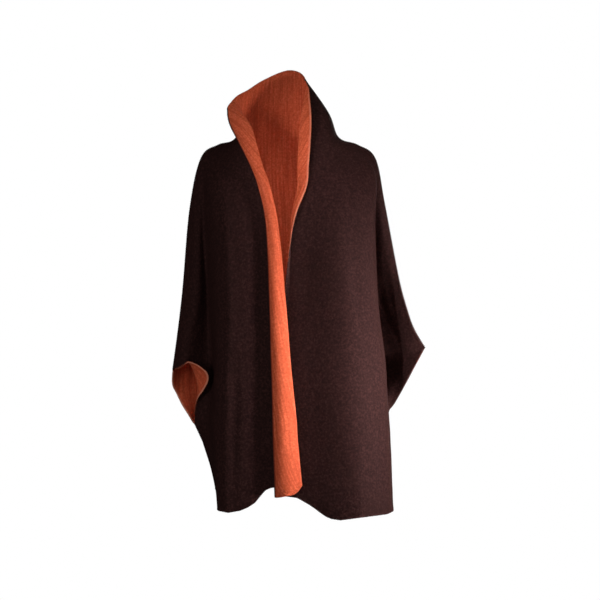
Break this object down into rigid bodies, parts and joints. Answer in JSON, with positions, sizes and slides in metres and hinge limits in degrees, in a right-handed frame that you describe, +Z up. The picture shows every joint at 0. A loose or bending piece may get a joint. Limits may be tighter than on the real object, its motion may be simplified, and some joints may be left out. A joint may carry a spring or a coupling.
{
  "type": "cape",
  "caption": "Hip-length hollow cape of thick two-colour wool knit with a tall standing collar, an open front with one lapel turned out, and wide cape sleeves cut in one with the body.",
  "frame": {"origin": "middle of the line between the two neck points, level with the shoulders, where a wearer or a hanger holds the cape", "axes": "+Z up, +X to the wearer's left, +Y to the back, so the front faces -Y"},
  "size_m": [0.6109, 0.3591, 1.0604],
  "materials": {
    "back": "matte double-face wool knit, dark outside and orange inside",
    "left_front": "matte double-face wool knit, dark outside and orange inside",
    "right_front": "matte double-face wool knit, dark outside and orange inside"
  },
  "bodies": {
    "root": {"back": "back", "left_front": "left_front", "right_front": "right_front"}
  },
  "joints": []
}
